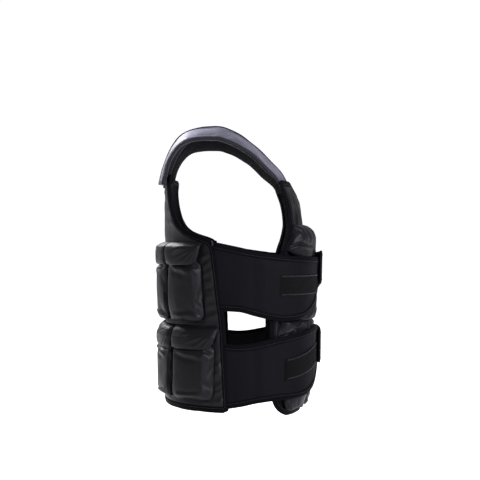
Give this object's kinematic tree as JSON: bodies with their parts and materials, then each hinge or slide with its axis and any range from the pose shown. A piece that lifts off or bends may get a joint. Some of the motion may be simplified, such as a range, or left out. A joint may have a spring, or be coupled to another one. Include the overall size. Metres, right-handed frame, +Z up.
{
  "type": "weighted vest",
  "caption": "Pull-over weighted vest with padded shoulder straps, rows of flapped weight pockets front and back, and wide hook-and-loop side belts that lap over at the front.",
  "frame": {"origin": "midway between the two shoulder straps, level with the highest point of their undersides, where the vest sits on a pair of shoulders", "axes": "+Z up, the front towards -Y and the back towards +Y, the wearer's left towards +X and right towards -X"},
  "size_m": [0.362, 0.2973, 0.4956],
  "materials": {
    "panel_cloth": "soft satin nylon",
    "pocket_cloth": "soft satin nylon",
    "strap_cloth": "satin nylon over padding",
    "belt_neoprene": "matte neoprene with a knit face",
    "edge_binding": "matte folded tape",
    "loop_fabric": "matte loop pile"
  },
  "bodies": {
    "root": {"back_panel": "panel_cloth", "front_panel": "panel_cloth", "back_panel_binding": "edge_binding", "front_panel_binding": "edge_binding", "shoulder_strap_right": "strap_cloth", "shoulder_strap_left": "strap_cloth", "belt_upper_right": "belt_neoprene", "belt_upper_right_binding": "edge_binding", "belt_upper_left": "belt_neoprene", "belt_upper_left_binding": "edge_binding", "belt_lower_right": "belt_neoprene", "belt_lower_right_binding": "edge_binding", "belt_lower_left": "belt_neoprene", "belt_lower_left_binding": "edge_binding", "loop_patch_upper_right": "loop_fabric", "loop_patch_lower_right": "loop_fabric", "back_pocket_upper_1": "pocket_cloth", "back_pocket_upper_2": "pocket_cloth", "back_pocket_upper_3": "pocket_cloth", "back_pocket_upper_4": "pocket_cloth", "back_pocket_upper_5": "pocket_cloth", "back_flap_upper_1": "pocket_cloth", "back_flap_upper_2": "pocket_cloth", "back_flap_upper_3": "pocket_cloth", "back_flap_upper_4": "pocket_cloth", "back_flap_upper_5": "pocket_cloth", "back_pocket_lower_1": "pocket_cloth", "back_pocket_lower_2": "pocket_cloth", "back_pocket_lower_3": "pocket_cloth", "back_pocket_lower_4": "pocket_cloth", "back_pocket_lower_5": "pocket_cloth", "back_flap_lower_1": "pocket_cloth", "back_flap_lower_2": "pocket_cloth", "back_flap_lower_3": "pocket_cloth", "back_flap_lower_4": "pocket_cloth", "back_flap_lower_5": "pocket_cloth", "front_pocket_upper_1": "pocket_cloth", "front_pocket_upper_2": "pocket_cloth", "front_pocket_upper_3": "pocket_cloth", "front_pocket_upper_4": "pocket_cloth", "front_flap_upper_1": "pocket_cloth", "front_flap_upper_2": "pocket_cloth", "front_flap_upper_3": "pocket_cloth", "front_flap_upper_4": "pocket_cloth", "front_pocket_lower_1": "pocket_cloth", "front_pocket_lower_2": "pocket_cloth", "front_pocket_lower_3": "pocket_cloth", "front_pocket_lower_4": "pocket_cloth", "front_flap_lower_1": "pocket_cloth", "front_flap_lower_2": "pocket_cloth", "front_flap_lower_3": "pocket_cloth", "front_flap_lower_4": "pocket_cloth"}
  },
  "joints": []
}
